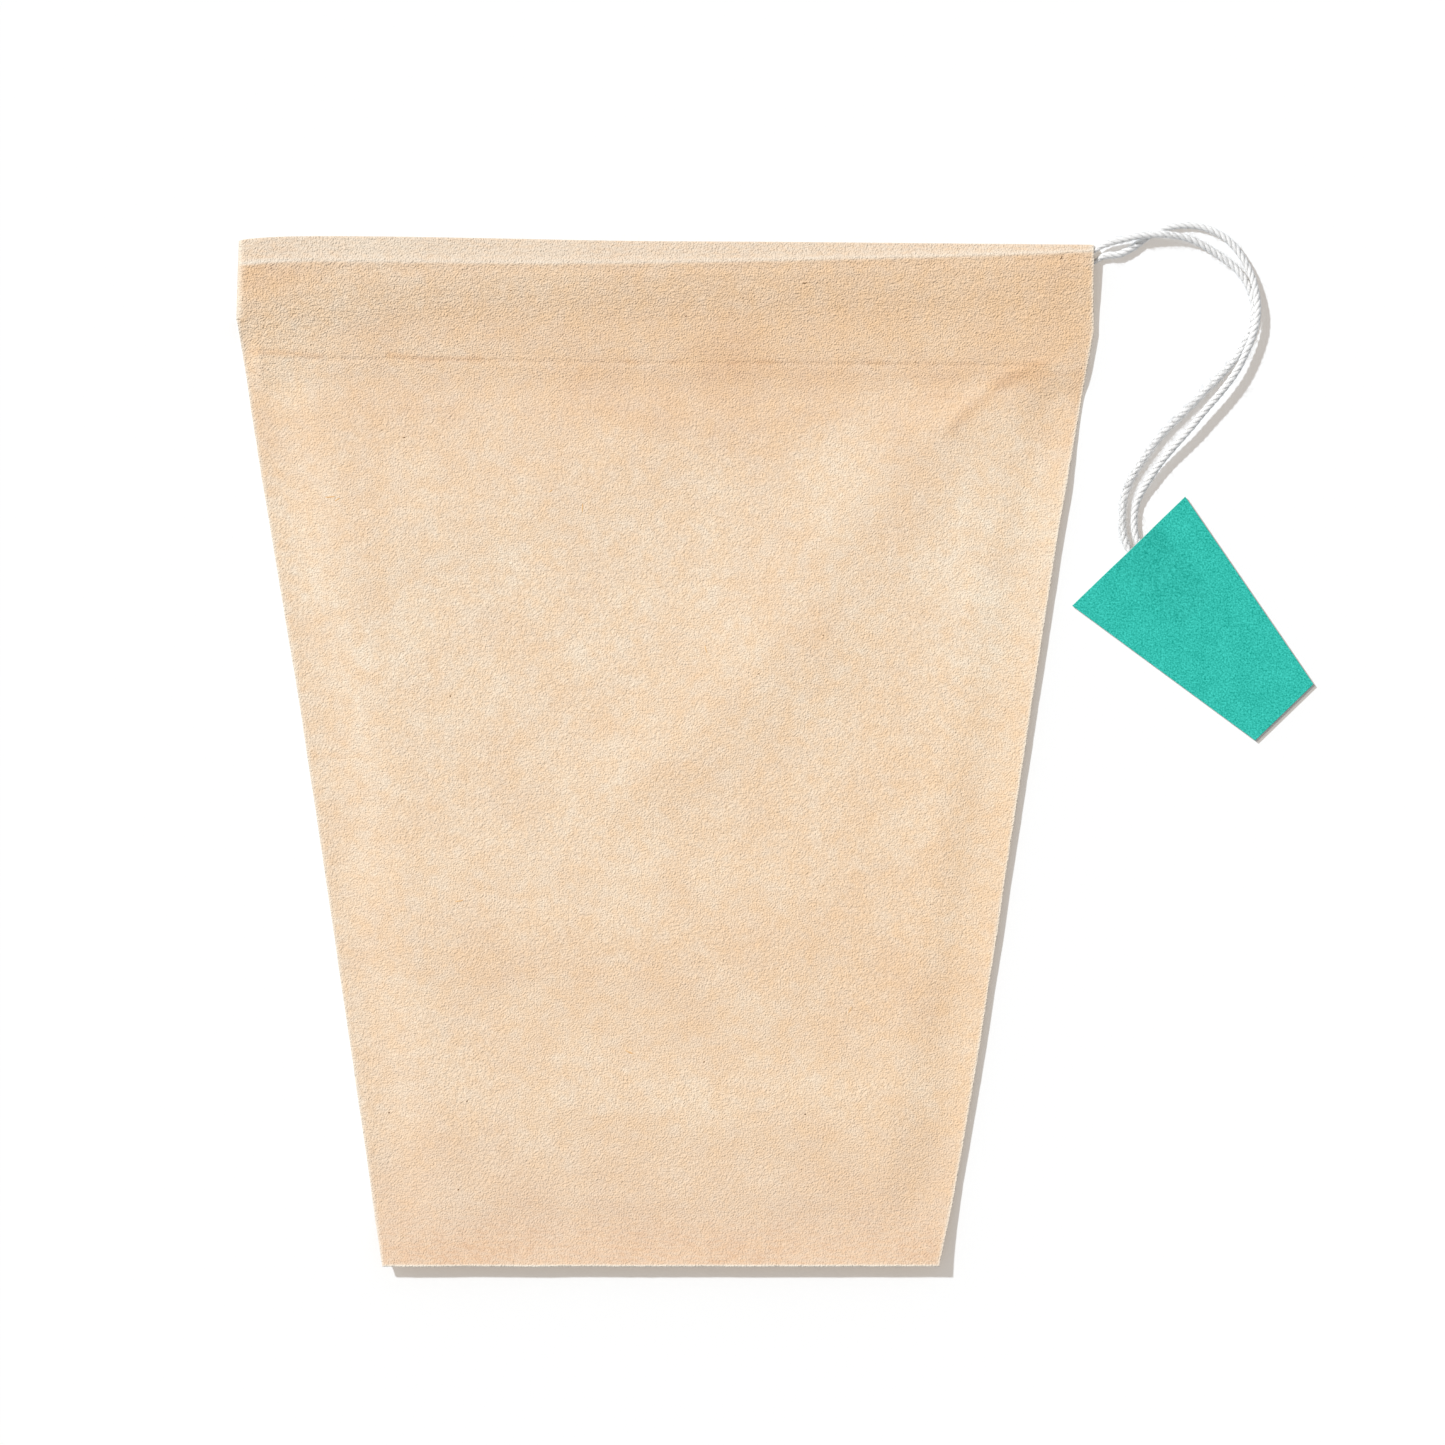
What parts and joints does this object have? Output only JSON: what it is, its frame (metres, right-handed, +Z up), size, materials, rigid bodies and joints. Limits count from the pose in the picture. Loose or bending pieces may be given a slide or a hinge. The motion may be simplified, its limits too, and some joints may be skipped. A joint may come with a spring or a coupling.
{
  "type": "drawstring paper tea filter",
  "caption": "Flat tapered filter paper bag with a turned-in hem, a doubled drawstring through it, and a small glued card tag on the string's ends.",
  "frame": {"origin": "on the surface the bag lies on, under the middle of the flat bag", "axes": "+X along the hem towards the end that the string leaves, +Y up the bag towards its mouth, +Z up from the table"},
  "size_m": [0.108, 0.1044, 0.002],
  "materials": {
    "filter_paper": "matte, unbleached, finely creped",
    "cotton_string": "matte twisted cotton",
    "tag_card": "matte printed card, white at its cut edges"
  },
  "bodies": {
    "root": {"filter_bag": "filter_paper", "drawstring": "cotton_string", "tag_front_ply": "tag_card", "tag_back_ply": "tag_card"}
  },
  "joints": []
}
